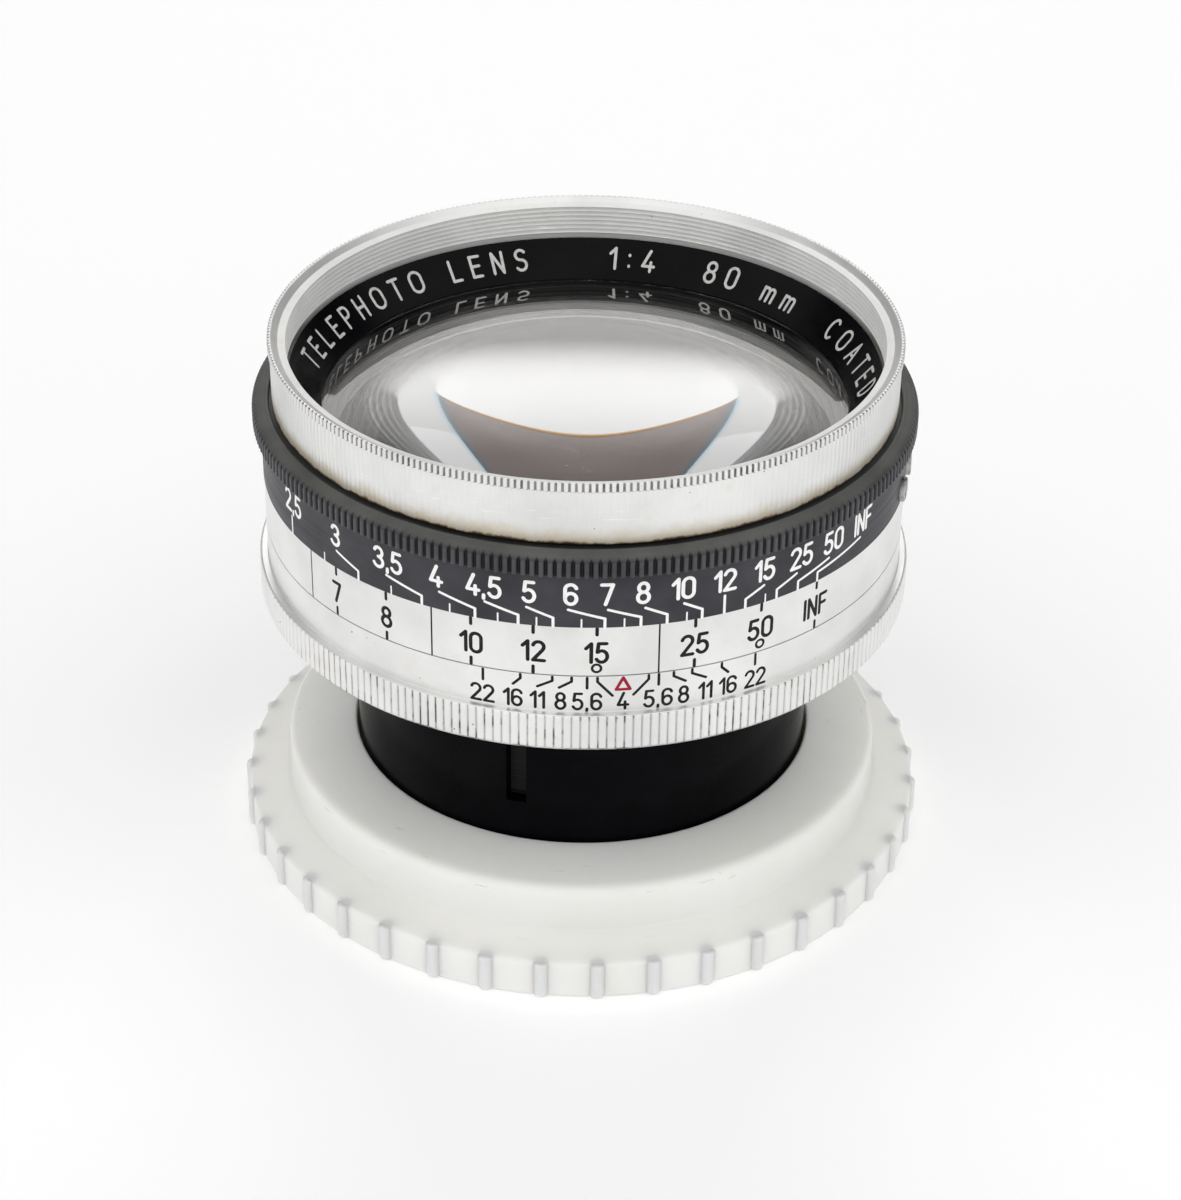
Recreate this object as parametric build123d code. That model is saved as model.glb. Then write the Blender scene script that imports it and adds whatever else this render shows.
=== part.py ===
from build123d import *
from math import asin, cos, radians, sin, sqrt
import os

# Convertible front component of a rangefinder camera's telephoto lens, standing
# on its white plastic storage base. Millimetres. The lens axis is Z and the
# front glass looks up. The origin is the middle of the base's underside, and
# the distance and depth scales are read from the front, which is -Y.

# Clearances
seat_gap = 0.05          # round the seats of pieces that never move apart
running_gap = 0.07       # radial, between the scale ring and the lens tube
base_gap = 0.25          # radial, between the rear barrel and the storage base
ring_gap = 0.10          # axial, at each end of the turning scale ring

# Heights of the faces that the whole stack is built on
base_top = 10.4
rear_barrel_foot = 7.05
knurl_bottom = 27.97
depth_ring_top = 35.9
scale_seam = 41.35
scale_ring_top = 49.4
front_ring_foot = 49.55
lip_top = 55.95

# Outside radii
flange_radius = 35.7
base_rib_reach = 36.5
base_disc_radius = 31.2
rear_barrel_radius = 23.77
band_radius = 32.45
knurl_radius = 33.3
scale_ring_radius = 32.5
front_ring_radius = 31.3
lip_radius = 31.5

# Storage base
base_rib_count = 40
base_rib_phase = 3.2
base_rib_half_width = 0.6
flange_height = 4.1
base_floor = 1.6
underside_recess = 0.5
groove_inner = 26.2      # moulding groove under the raised disc
groove_outer = 29.4
groove_height = 8.0

# Bayonet shared by the rear of the lens and the base
lug_count = 3
lug_first_azimuth = 60.0
lens_lug_width = 40.0
base_lug_width = 42.0
lug_play = 0.15
base_lug_bottom = 5.6
lens_lug_bottom = 4.2
lug_depth = 1.4
stop_width = 4.0
stop_clearance = 1.5
bayonet_ring_inner = 19.7
bayonet_ring_outer = 22.0

# Barrel and rings
barrel_wall = 1.37
rear_lip_radius = 19.6
rear_lip_thickness = 1.2
key_slot_width = 2.0
key_slot_azimuth = -15.5
key_slot_bottom = 14.5
key_slot_top = 23.0
tube_radius = 30.4
tube_shoulder = 29.2
tube_shoulder_thickness = 1.4
tube_foot = 9.0
tube_front = 49.5
tube_seat_chamfer = 0.6
sleeve_radius = 31.4
washer_seat = 35.2
washer_counterbore = 31.55
depth_ring_bore = 31.0
grip_foot = 47.2
guide_groove_radius = 29.6
scale_ring_lip_radius = 31.6

# Front ring and name ring
front_skirt_radius = 28.95
front_skirt_foot = 46.0
lip_foot = 55.12
name_ring_seat = 49.3
name_ring_back = 28.35
thread_crest_radius = 29.75
thread_foot = 52.3
thread_relief_radius = 30.2
thread_relief_foot = 50.8
thread_mouth = 55.5
mouth_radius = 30.3
name_ring_outer = 29.55
glass_edge = 26.4
cone_top = 51.8
cone_bottom = 48.35
name_ring_foot = 47.2

# Optics
front_element_radius = 27.5
front_element_seat = 44.2
front_curve = 90.0
front_lift = 1.0
front_back_curve = 300.0
doublet_radius = 20.4
doublet_seat = 27.0
doublet_joint = 30.2
doublet_top = 33.2
doublet_stop_radius = 18.6
doublet_ring_inner = 19.2
rear_bore = 20.5
rear_cell_foot = 8.6
rear_cell_top = 22.0
rear_cell_stop = 14.6
rear_element_radius = 15.5
rear_ring_foot = 9.3
rear_ring_inner = 14.05
fifth_bottom = 10.6
fifth_top = 12.8
fourth_bottom = 14.2
fourth_top = 18.5
baffle_foot = 34.7
baffle_outer = 26.5
baffle_bore = 19.9
baffle_mouth = 25.7
baffle_cone_foot = 41.0
baffle_steps = 8

# Screws
mount_screw_circle = 20.85
mount_screw_head = 0.95
mount_screw_shank = 0.5
mount_screw_head_height = 0.6
mount_screw_length = 3.7
ring_screw_azimuths = (75.3, 84.8)
ring_screw_height = 42.65
ring_screw_head = 1.25
ring_screw_shank = 0.7
ring_screw_seat = 31.9
ring_screw_reach = 32.95
ring_screw_point = 29.85
screw_slot_width = 0.4


def turned(points, sweep=360.0):
    """Solid made by turning an (r, z) outline about the lens axis."""
    outline = Plane.XZ * Polyline(*points, close=True)
    return revolve(make_face(outline), Axis.Z, revolution_arc=sweep)


def ring(inner, outer, bottom, top):
    return turned([(inner, bottom), (outer, bottom), (outer, top), (inner, top)])


def sector(inner, outer, bottom, top, azimuth, width):
    """Piece of a ring, centred on an azimuth from -Y towards +X."""
    outline = [(inner, bottom), (outer, bottom), (outer, top), (inner, top)]
    return Rot(0, 0, azimuth - 90 - width / 2) * turned(outline, width)


def at_azimuth(radius, azimuth, height):
    angle = radians(azimuth)
    return Pos(radius * sin(angle), -radius * cos(angle), height)


def facing_out(radius, azimuth, height):
    """Place whose +Z points away from the lens axis, and whose +X is along it."""
    return at_azimuth(radius, azimuth, height) * Rot(0, 0, azimuth) * Rot(90, 0, 0) * Rot(0, 0, 90)


def lug_azimuths():
    return [lug_first_azimuth + 360 / lug_count * i for i in range(lug_count)]


def cap_arc(rim_radius, rim_height, curve):
    """Half profile of a spherical face; a positive curve bulges upwards."""
    size = abs(curve)
    way = 1 if curve > 0 else -1
    centre = rim_height - way * sqrt(size**2 - rim_radius**2)
    half = asin(rim_radius / size) / 2
    apex = (0, centre + way * size)
    middle = (size * sin(half), centre + way * size * cos(half))
    return apex, ThreePointArc(apex, middle, (rim_radius, rim_height))


def element(radius, bottom, top, front_rim, front_bend, back_rim, back_bend, front_lift=0):
    """Glass element with flat edge lands outside its two polished faces."""
    front_apex, front = cap_arc(front_rim, top + front_lift, front_bend)
    back_apex, back = cap_arc(back_rim, bottom, back_bend)
    outline = [front, back, Line(front_apex, back_apex)]
    corners = [
        (front_rim, top + front_lift),
        (front_rim, top),
        (radius, top),
        (radius, bottom),
        (back_rim, bottom),
    ]
    steps = [p for i, p in enumerate(corners) if i == 0 or p != corners[i - 1]]
    outline.append(Polyline(*steps))
    return revolve(make_face(Plane.XZ * Curve(outline)), Axis.Z)


def storage_base():
    bore = rear_barrel_radius + base_gap
    shoulder = base_disc_radius + 0.1
    body = turned([
        (0, underside_recess),
        (base_disc_radius, underside_recess),
        (base_disc_radius, 0),
        (flange_radius - 0.3, 0),
        (flange_radius, 0.3),
        (flange_radius, flange_height - 0.4),
        (flange_radius - 0.4, flange_height),
        (shoulder, 4.95),
        (base_disc_radius, 5.1),
        (base_disc_radius, 9.1),
        (base_disc_radius - 0.2, 9.5),
        (base_disc_radius - 0.8, 9.85),
        (bore + 0.5, base_top),
        (bore, base_top - 0.3),
        (bore, base_floor),
        (0, base_floor),
    ])
    moulding_groove = ring(groove_inner, groove_outer, 0, groove_height)
    body -= moulding_groove
    rib_radius = base_rib_reach - base_rib_half_width
    rib_height = flange_height - 0.2
    for i in range(base_rib_count):
        place = at_azimuth(rib_radius, base_rib_phase + 360 / base_rib_count * i, rib_height / 2)
        body += place * Cylinder(base_rib_half_width, rib_height)
    lug_inner = rear_barrel_radius - lug_depth
    lug_top = rear_barrel_foot - ring_gap
    for azimuth in lug_azimuths():
        body += sector(lug_inner, bore + 0.5, base_lug_bottom, lug_top, azimuth, base_lug_width)
        stop_azimuth = azimuth + lens_lug_width / 2 + stop_clearance + stop_width / 2
        body += sector(lug_inner, bore + 0.5, base_floor, base_lug_bottom + 0.1, stop_azimuth, stop_width)
    return body


def rear_barrel():
    inner = rear_barrel_radius - barrel_wall
    body = turned([
        (rear_lip_radius, rear_barrel_foot),
        (rear_barrel_radius - 0.2, rear_barrel_foot),
        (rear_barrel_radius, rear_barrel_foot + 0.2),
        (rear_barrel_radius, knurl_bottom),
        (inner, knurl_bottom),
        (inner, rear_barrel_foot + rear_lip_thickness),
        (rear_lip_radius, rear_barrel_foot + rear_lip_thickness),
    ])
    slot_height = key_slot_top - key_slot_bottom
    slot = Box(key_slot_width, 4.0, slot_height)
    place = at_azimuth(rear_barrel_radius, key_slot_azimuth, (key_slot_top + key_slot_bottom) / 2)
    body -= place * Rot(0, 0, key_slot_azimuth) * slot
    for azimuth in lug_azimuths():
        thread = Cylinder(mount_screw_shank + seat_gap, 4.0)
        body -= at_azimuth(mount_screw_circle, azimuth, rear_barrel_foot) * thread
    return body


def bayonet_ring():
    lug_top = base_lug_bottom - lug_play
    body = ring(bayonet_ring_inner, bayonet_ring_outer, lens_lug_bottom, rear_barrel_foot)
    lug_reach = rear_barrel_radius - 0.2
    lug_root = bayonet_ring_outer - 1.0
    middle = (lens_lug_bottom + rear_barrel_foot) / 2
    for azimuth in lug_azimuths():
        body += sector(lug_root, lug_reach, lens_lug_bottom, lug_top, azimuth, lens_lug_width)
        hole = Cylinder(mount_screw_shank + seat_gap, 6.0)
        body -= at_azimuth(mount_screw_circle, azimuth, middle) * hole
        sink = Cone(mount_screw_head + seat_gap, mount_screw_shank + seat_gap, mount_screw_head_height)
        sink_middle = lens_lug_bottom + mount_screw_head_height / 2
        body -= at_azimuth(mount_screw_circle, azimuth, sink_middle) * sink
    return body


def mount_screws():
    head = Cone(mount_screw_head, mount_screw_shank, mount_screw_head_height)
    head = Pos(0, 0, mount_screw_head_height / 2) * head
    shank_length = mount_screw_length - mount_screw_head_height + 0.2
    shank = Pos(0, 0, mount_screw_length - shank_length / 2) * Cylinder(mount_screw_shank, shank_length)
    slot = Box(3.0, 0.3, mount_screw_head_height)
    screw = head + shank - slot
    places = [at_azimuth(mount_screw_circle, azimuth, lens_lug_bottom) for azimuth in lug_azimuths()]
    return Compound(children=[place * screw for place in places])


def lens_tube():
    lower = rear_barrel_radius - barrel_wall - seat_gap
    shoulder_top = tube_shoulder + tube_shoulder_thickness
    body = turned([
        (rear_bore, tube_foot),
        (lower, tube_foot),
        (lower, tube_shoulder),
        (tube_radius + 0.5, tube_shoulder),
        (tube_radius + 0.5, shoulder_top),
        (tube_radius, shoulder_top),
        (tube_radius, tube_front),
        (front_skirt_radius + seat_gap, tube_front),
        (front_skirt_radius + seat_gap, front_skirt_foot),
        (front_element_radius + seat_gap, front_skirt_foot),
        (front_element_radius + seat_gap, front_element_seat),
        (baffle_outer + seat_gap, front_element_seat),
        (baffle_outer + seat_gap, baffle_foot),
        (rear_bore, baffle_foot),
        (rear_bore, doublet_seat),
        (doublet_stop_radius, doublet_seat),
        (doublet_stop_radius, doublet_seat - 1.0),
        (rear_bore, doublet_seat - 1.0 - tube_seat_chamfer),
    ])
    groove_half = ring_screw_shank + 0.2
    groove_foot = ring_screw_height - groove_half
    guide_groove = ring(guide_groove_radius, tube_radius + 1, groove_foot, groove_foot + 2 * groove_half)
    return body - guide_groove


def depth_scale_ring():
    bore = rear_barrel_radius - barrel_wall
    return turned([
        (bore, knurl_bottom),
        (knurl_radius - 0.35, knurl_bottom),
        (knurl_radius, 28.5),
        (knurl_radius, 31.7),
        (knurl_radius - 0.2, 31.9),
        (band_radius, 31.9),
        (band_radius, depth_ring_top),
        (washer_counterbore, depth_ring_top),
        (washer_counterbore, washer_seat),
        (depth_ring_bore, washer_seat),
        (depth_ring_bore, tube_shoulder),
        (bore, tube_shoulder),
    ])


def friction_washer():
    return ring(tube_radius + 0.1, washer_counterbore - seat_gap, washer_seat, depth_ring_top - 0.05)


def scale_ring():
    inner = tube_radius + running_gap
    foot = depth_ring_top + ring_gap
    body = turned([
        (inner, foot),
        (sleeve_radius, foot),
        (sleeve_radius, scale_seam),
        (scale_ring_radius, scale_seam),
        (scale_ring_radius, grip_foot - 0.4),
        (scale_ring_radius + 0.3, grip_foot),
        (knurl_radius, grip_foot),
        (knurl_radius, scale_ring_top - 0.65),
        (knurl_radius - 0.45, scale_ring_top - 0.25),
        (scale_ring_lip_radius + 0.15, scale_ring_top),
        (scale_ring_lip_radius, scale_ring_top - 0.1),
        (scale_ring_lip_radius, scale_ring_top - 0.4),
        (inner, scale_ring_top - 0.4),
    ])
    drill = Cylinder(ring_screw_shank + seat_gap, 6.0)
    sink = Pos(0, 0, 1.0) * Cylinder(ring_screw_head + seat_gap, 2.0)
    for azimuth in ring_screw_azimuths:
        body -= facing_out(ring_screw_seat, azimuth, ring_screw_height) * (drill + sink)
    return body


def scale_band():
    foot = depth_ring_top + ring_gap
    return ring(sleeve_radius + seat_gap, band_radius, foot, scale_seam)


def scale_ring_screws():
    head_height = ring_screw_reach - ring_screw_seat
    head = Pos(0, 0, head_height / 2) * Cylinder(ring_screw_head, head_height)
    head = chamfer(head.edges().group_by(Axis.Z)[-1], 0.15)
    shank_length = ring_screw_seat - ring_screw_point
    shank = Pos(0, 0, -shank_length / 2) * Cylinder(ring_screw_shank, shank_length)
    slot = Pos(0, 0, head_height) * Box(4.0, screw_slot_width, 0.7)
    screw = head + shank - slot
    places = [facing_out(ring_screw_seat, azimuth, ring_screw_height) for azimuth in ring_screw_azimuths]
    return Compound(children=[place * screw for place in places])


def front_ring():
    bore = front_element_radius + seat_gap
    return turned([
        (bore, front_skirt_foot),
        (front_skirt_radius, front_skirt_foot),
        (front_skirt_radius, front_ring_foot),
        (front_ring_radius, front_ring_foot),
        (front_ring_radius, lip_foot),
        (lip_radius, lip_foot),
        (lip_radius, lip_top - 0.1),
        (lip_radius - 0.15, lip_top),
        (lip_radius - 0.3, lip_top),
        (mouth_radius, thread_mouth),
        (thread_crest_radius, thread_mouth),
        (thread_crest_radius, thread_foot),
        (thread_relief_radius, thread_foot),
        (thread_relief_radius, thread_relief_foot),
        (name_ring_back + seat_gap, name_ring_seat),
        (bore, name_ring_seat),
    ])


def name_ring():
    return turned([
        (glass_edge, name_ring_foot),
        (front_element_radius, name_ring_foot),
        (front_element_radius, name_ring_seat + seat_gap),
        (name_ring_back, name_ring_seat + seat_gap),
        (name_ring_outer, thread_relief_foot - seat_gap),
        (name_ring_outer, cone_top),
        (glass_edge, cone_bottom),
    ])


def ridged_baffle():
    """Light trap: a plain bore that opens in square steps under the front glass."""
    points = [(baffle_outer, front_element_seat), (baffle_outer, baffle_foot), (baffle_bore, baffle_foot)]
    step_out = (baffle_mouth - baffle_bore) / baffle_steps
    step_up = (front_element_seat - baffle_cone_foot) / baffle_steps
    radius = baffle_bore
    for i in range(baffle_steps):
        height = baffle_cone_foot + step_up * i
        points.append((radius, height))
        radius += step_out
        points.append((radius, height))
    return turned(points)


def spanner_slots(body, radius, height):
    """Two notches that a lens spanner turns a retaining ring by."""
    for azimuth in (0, 180):
        body -= at_azimuth(radius, azimuth, height) * Box(1.0, 3.0, 1.0)
    return body


def doublet_ring():
    body = ring(doublet_ring_inner, rear_bore - seat_gap, doublet_top, baffle_foot)
    return spanner_slots(body, doublet_ring_inner, baffle_foot)


def rear_cell():
    bore = rear_element_radius + seat_gap
    return turned([
        (bore, rear_cell_foot),
        (rear_bore - seat_gap, rear_cell_foot),
        (rear_bore - seat_gap, rear_cell_top),
        (rear_cell_stop + 2.9, rear_cell_top),
        (rear_cell_stop, fourth_top + 1.1),
        (rear_cell_stop, fourth_top),
        (bore, fourth_top),
    ])


def rear_retaining_ring():
    body = ring(rear_ring_inner, rear_element_radius, rear_ring_foot, fifth_bottom)
    return spanner_slots(body, rear_ring_inner + 0.25, rear_ring_foot)


pieces = {
    "storage_base": storage_base(),
    "bayonet_ring": bayonet_ring(),
    "mount_screws": mount_screws(),
    "rear_barrel": rear_barrel(),
    "lens_tube": lens_tube(),
    "depth_scale_ring": depth_scale_ring(),
    "friction_washer": friction_washer(),
    "scale_ring": scale_ring(),
    "scale_band": scale_band(),
    "scale_ring_screws": scale_ring_screws(),
    "front_ring": front_ring(),
    "name_ring": name_ring(),
    "front_element": element(
        front_element_radius, front_element_seat, name_ring_foot,
        glass_edge - seat_gap, front_curve, 26.0, front_back_curve, front_lift
    ),
    "ridged_baffle": ridged_baffle(),
    "doublet_ring": doublet_ring(),
    "second_element": element(
        doublet_radius, doublet_joint, doublet_top, 19.1, 42.0, doublet_radius, 100.0
    ),
    "third_element": element(
        doublet_radius, doublet_seat, doublet_joint - 0.02,
        doublet_radius, 100.0, doublet_stop_radius - 0.4, 60.0
    ),
    "rear_cell": rear_cell(),
    "fourth_element": element(
        rear_element_radius, fourth_bottom, fourth_top, rear_cell_stop, -90.0, 14.4, 60.0
    ),
    "rear_spacer": ring(14.5, rear_element_radius, fifth_top, fourth_bottom),
    "fifth_element": element(
        rear_element_radius, fifth_bottom, fifth_top, 14.4, 70.0, 14.0, -80.0
    ),
    "rear_retaining_ring": rear_retaining_ring(),
}

os.makedirs("parts", exist_ok=True)
for node, shape in pieces.items():
    export_step(shape, f"parts/{node}.step")
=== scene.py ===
import math
import bpy
import bmesh
from mathutils import Matrix, Vector


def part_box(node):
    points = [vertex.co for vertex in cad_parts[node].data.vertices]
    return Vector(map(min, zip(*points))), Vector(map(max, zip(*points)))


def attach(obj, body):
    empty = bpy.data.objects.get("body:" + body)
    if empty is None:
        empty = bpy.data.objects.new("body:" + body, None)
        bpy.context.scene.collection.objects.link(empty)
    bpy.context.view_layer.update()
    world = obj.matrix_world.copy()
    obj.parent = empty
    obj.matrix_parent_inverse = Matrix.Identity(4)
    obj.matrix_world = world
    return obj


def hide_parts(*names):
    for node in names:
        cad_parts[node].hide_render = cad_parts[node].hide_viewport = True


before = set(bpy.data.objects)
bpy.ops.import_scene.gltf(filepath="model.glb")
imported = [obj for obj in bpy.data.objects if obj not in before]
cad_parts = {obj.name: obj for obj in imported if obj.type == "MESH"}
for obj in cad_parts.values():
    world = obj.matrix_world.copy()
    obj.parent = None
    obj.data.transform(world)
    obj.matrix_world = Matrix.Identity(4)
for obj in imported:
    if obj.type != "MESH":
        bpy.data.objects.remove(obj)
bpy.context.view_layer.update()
scene = bpy.context.scene
mm = 0.001
print("stage: frame loaded,", len(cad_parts), "nodes")

# The lens stands on its base with the axis on Z. Azimuths are in degrees from -Y towards +X.

cameraPlace = {"lens": 86.4, "distance": 302, "elevation": 32.2, "roll": 0.8, "lookAt": (0.79, 0, 23.94)}


def addCamera():
    data = bpy.data.cameras.new("productCamera")
    data.lens = cameraPlace["lens"]
    data.sensor_width = 36
    data.clip_start = 0.01
    data.clip_end = 20
    camera = bpy.data.objects.new("productCamera", data)
    scene.collection.objects.link(camera)
    tilt = math.radians(cameraPlace["elevation"])
    roll = math.radians(cameraPlace["roll"])
    ahead = Vector((0, math.cos(tilt), -math.sin(tilt)))
    side = Vector((1, 0, 0))
    top = side.cross(ahead)
    rolledSide = side * math.cos(roll) + top * math.sin(roll)
    rolledTop = top * math.cos(roll) - side * math.sin(roll)
    turn = Matrix((rolledSide, rolledTop, -ahead)).transposed().to_4x4()
    place = Vector(cameraPlace["lookAt"]) * mm - ahead * cameraPlace["distance"] * mm
    camera.matrix_world = Matrix.Translation(place) @ turn
    scene.camera = camera


addCamera()
print("stage: camera")


# Node trees: each helper adds one node and returns its output

class Tree:
    def __init__(self, tree, coordinates):
        self.nodes = tree.nodes
        self.links = tree.links
        self.place = self.nodes.new("ShaderNodeTexCoord").outputs[coordinates]
        split = self.nodes.new("ShaderNodeSeparateXYZ")
        self.links.new(self.place, split.inputs[0])
        self.x, self.y, self.z = split.outputs

    def fill(self, socket, value):
        if isinstance(value, bpy.types.NodeSocket):
            self.links.new(value, socket)
        else:
            socket.default_value = value

    def math(self, operation, a, b=0.0, c=0.0):
        node = self.nodes.new("ShaderNodeMath")
        node.operation = operation
        for socket, value in zip(node.inputs, (a, b, c)):
            self.fill(socket, value)
        return node.outputs[0]

    # Unrolled coordinates of a turned part: turns round the axis, height and radius
    def unrolled(self, alongScale, heightScale, radiusScale=0.0):
        angle = self.math("ARCTAN2", self.y, self.x)
        join = self.nodes.new("ShaderNodeCombineXYZ")
        self.links.new(self.math("MULTIPLY", angle, alongScale), join.inputs[0])
        self.links.new(self.math("MULTIPLY", self.z, heightScale), join.inputs[1])
        self.links.new(self.math("MULTIPLY", self.across, radiusScale), join.inputs[2])
        return join.outputs[0]

    def noise(self, vector, scale, detail=3.0, roughness=0.55, distortion=0.0):
        node = self.nodes.new("ShaderNodeTexNoise")
        self.fill(node.inputs["Vector"], vector)
        node.inputs["Scale"].default_value = scale
        node.inputs["Detail"].default_value = detail
        node.inputs["Roughness"].default_value = roughness
        node.inputs["Distortion"].default_value = distortion
        return node.outputs["Fac"]

    def cells(self, vector, scale):
        node = self.nodes.new("ShaderNodeTexVoronoi")
        self.fill(node.inputs["Vector"], vector)
        node.inputs["Scale"].default_value = scale
        return node.outputs["Distance"]

    def remap(self, value, low, high, toLow=0.0, toHigh=1.0):
        node = self.nodes.new("ShaderNodeMapRange")
        node.interpolation_type = "SMOOTHSTEP"
        for socket, given in zip(node.inputs, (value, low, high, toLow, toHigh)):
            self.fill(socket, given)
        return node.outputs[0]

    def blend(self, share, first, second):
        node = self.nodes.new("ShaderNodeMix")
        node.data_type = "RGBA"
        self.fill(node.inputs["Factor"], share)
        for socket, value in zip((node.inputs[6], node.inputs[7]), (first, second)):
            self.fill(socket, value if isinstance(value, bpy.types.NodeSocket) else (*value, 1))
        return node.outputs[2]

    def bump(self, height, strength, distance, before=None):
        node = self.nodes.new("ShaderNodeBump")
        node.inputs["Strength"].default_value = strength
        node.inputs["Distance"].default_value = distance
        self.fill(node.inputs["Height"], height)
        if before:
            self.links.new(before, node.inputs["Normal"])
        return node.outputs[0]

    def between(self, value, low, high, soft):
        above = self.remap(self.math("SUBTRACT", value, low), -soft, soft)
        return self.math("MULTIPLY", above, self.remap(self.math("SUBTRACT", high, value), -soft, soft))

    def give(self, **sockets):
        for name, value in sockets.items():
            label = name[0].upper() + name[1:]
            spaced = "".join(" " + c if c.isupper() and i else c for i, c in enumerate(label))
            self.fill(self.shader.inputs[spaced.replace("I O R", "IOR")], value)
        return self.material


def newMaterial(name):
    material = bpy.data.materials.new(name)
    material.use_nodes = True
    t = Tree(material.node_tree, "Object")
    t.material = material
    t.shader = t.nodes["Principled BSDF"]
    t.across = t.math("SQRT", t.math("ADD", t.math("POWER", t.x, 2), t.math("POWER", t.y, 2)))
    return t


depthGrip = {"teeth": 250, "low": 28.0, "high": 31.86, "root": 33.02, "tip": 33.31}
scaleGrip = {"teeth": 250, "low": 47.0, "high": 49.3, "root": 32.86, "tip": 33.31}
lipGrip = {"teeth": 318, "low": 55.0, "high": 56.1, "root": 31.16, "tip": 31.5, "shadeAndDirtTop": 55.93}

silverLook = {
    "pale": (0.85, 0.85, 0.835), "shade": (0.74, 0.74, 0.735), "roughness": (0.33, 0.40),
    "grime": (0.20, 0.13, 0.06), "tarnish": (0.72, 0.68, 0.55), "varnish": (0.62, 0.53, 0.36),
    "soot": (0.03, 0.022, 0.015), "groove": (0.13, 0.125, 0.12), "scuff": (0.97, 0.97, 0.97),
    "tarnishShare": 0.75, "pits": 1100.0, "metal": 0.72, "threadMetal": 0.144, "bore": (0.0302, 0.0306),
}


# How deep a point lies in a knurl's grooves, 0 at the crests and 1 at the bottom. It darkens the grooves:
# painted shade, and on the silver rings also dirt
def grooveDirt(t, grip):
    deep = t.between(t.across, (grip["root"] - 0.02) * mm, (grip["tip"] - 0.14) * mm, 0.00006)
    shadeAndDirtTop = grip.get("shadeAndDirtTop", grip["high"])
    return t.math("MULTIPLY", deep, t.between(t.z, grip["low"] * mm, shadeAndDirtTop * mm, 0.00004))


# Satin turned silver: a fine lathe grain, faint stains, pits, and grime that gathers at one height.
# Inside the front ring's bore the finish is duller
def satinSilver(name, grip=None, grooveShare=0.0, grimeHeight=None, scratchHeight=None, pitShare=0.10):
    t = newMaterial(name)
    grain = t.noise(t.unrolled(1.2, 9000), 1.0, 2.0)
    cloud = t.noise(t.place, 90.0, 4.0)
    stain = t.noise(t.place, 420.0, 5.0, 0.65)
    colour = t.blend(t.remap(cloud, 0.35, 0.7), silverLook["pale"], silverLook["shade"])
    colour = t.blend(t.math("MULTIPLY", t.remap(stain, 0.56, 0.72), 0.25), colour, silverLook["tarnish"])
    pits = t.remap(t.cells(t.place, silverLook["pits"]), pitShare, pitShare * 0.45)
    sparse = t.remap(t.noise(t.place, 260.0, 2.0), 0.60, 0.68)
    pits = t.math("MULTIPLY", pits, sparse)
    colour = t.blend(t.math("MULTIPLY", pits, 0.85), colour, silverLook["soot"])
    rough = t.remap(grain, 0.3, 0.7, *silverLook["roughness"])
    height = t.math("ADD", t.math("MULTIPLY", grain, 0.35), t.math("MULTIPLY", stain, 0.3))
    if scratchHeight:
        streak = t.noise(t.unrolled(7.0, 2600), 1.0, 5.0, 0.7, 0.6)
        near = t.remap(t.math("ABSOLUTE", t.math("SUBTRACT", t.z, scratchHeight)), 0.0011, 0.0002)
        scuff = t.math("MULTIPLY", t.remap(streak, 0.60, 0.66), near)
        colour = t.blend(scuff, colour, silverLook["scuff"])
        rough = t.math("ADD", rough, t.math("MULTIPLY", scuff, 0.25))
        height = t.math("ADD", height, t.math("MULTIPLY", scuff, 0.8))
    if grimeHeight:
        wander = t.math("MULTIPLY", t.math("SUBTRACT", t.noise(t.place, 330.0, 5.0, 0.7), 0.5), 0.0017)
        above = t.math("SUBTRACT", t.z, grimeHeight)
        yellow = t.remap(t.math("ADD", above, t.math("MULTIPLY", wander, 1.6)), 0.0021, 0.0001)
        dark = t.remap(t.math("ADD", above, t.math("MULTIPLY", wander, 0.8)), 0.00042, 0.00012)
        yellow = t.math("MULTIPLY", yellow, silverLook["tarnishShare"])
        colour = t.blend(yellow, colour, silverLook["varnish"])
        colour = t.blend(dark, colour, silverLook["grime"])
        core = t.remap(t.math("ADD", above, t.math("MULTIPLY", wander, 0.5)), 0.0003, 0.00005)
        colour = t.blend(core, colour, silverLook["soot"])
        rough = t.math("ADD", rough, t.math("MULTIPLY", dark, 0.35))
    if grip:
        # Darkened knurl grooves: painted shade, stronger in patches of dirt
        deep = grooveDirt(t, grip)
        patchy = t.remap(t.noise(t.place, 420.0, 4.0, 0.6), 0.46, 0.64, grooveShare, 1.0)
        colour = t.blend(t.math("MULTIPLY", deep, patchy), colour, silverLook["groove"])
        rough = t.math("ADD", rough, t.math("MULTIPLY", deep, 0.3))
    normal = t.bump(height, 0.05, 0.00003)
    inBore = t.remap(t.across, *silverLook["bore"], 1.0, 0.0)
    rough = t.math("ADD", rough, t.math("MULTIPLY", inBore, 0.25))
    metal = t.remap(t.across, *silverLook["bore"], silverLook["threadMetal"], silverLook["metal"])
    return t.give(baseColor=colour, roughness=rough, normal=normal, metallic=metal)


# In this palette the crest and top-face colours are painted highlight, and the groove colour is painted
# shade
blackLook = {"body": (0.026, 0.025, 0.031), "worn": (0.050, 0.049, 0.057), "crest": (0.075, 0.075, 0.08),
             "paintedTopLight": (0.105, 0.108, 0.10), "dust": (0.55, 0.55, 0.53), "groove": (0.003, 0.003, 0.004),
             "roughness": (0.36, 0.50)}
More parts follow.
